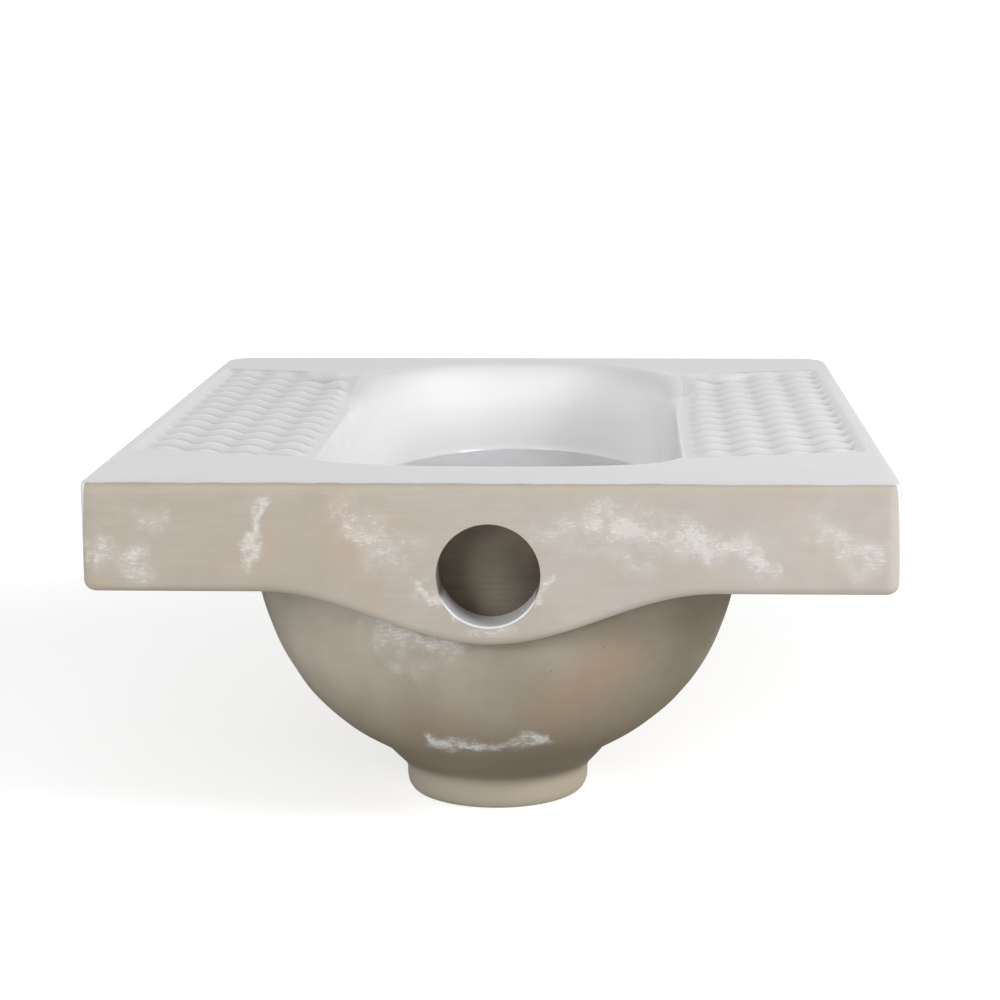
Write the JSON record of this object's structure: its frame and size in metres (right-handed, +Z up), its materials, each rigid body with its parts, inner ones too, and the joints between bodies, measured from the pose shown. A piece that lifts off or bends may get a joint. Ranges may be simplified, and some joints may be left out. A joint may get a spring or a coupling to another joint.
{
  "type": "squat toilet pan",
  "caption": "Floor-level squat toilet pan with wave-pattern foot treads, a deep bowl, a round flush inlet in its rear face and a short outlet spigot below.",
  "frame": {"origin": "centre of the outlet spigot's lower face", "axes": "+Z up out of the deck, +Y towards the front end of the pan, away from the flush inlet, +X to the right seen from the inlet's side"},
  "size_m": [0.4298, 0.53, 0.19],
  "materials": {
    "glazed_white": "gloss white glaze",
    "raw_clay": "matt unglazed fired clay"
  },
  "bodies": {
    "root": {"deck": "glazed_white", "tread_left": "glazed_white", "tread_right": "glazed_white", "bowl_left": "glazed_white", "bowl_right": "glazed_white", "jacket_left": "raw_clay", "jacket_right": "raw_clay", "inlet_collar": "raw_clay", "outlet_spigot": "raw_clay", "rear_apron": "raw_clay", "front_apron": "raw_clay", "skirt_left": "raw_clay", "skirt_right": "raw_clay"}
  },
  "joints": []
}
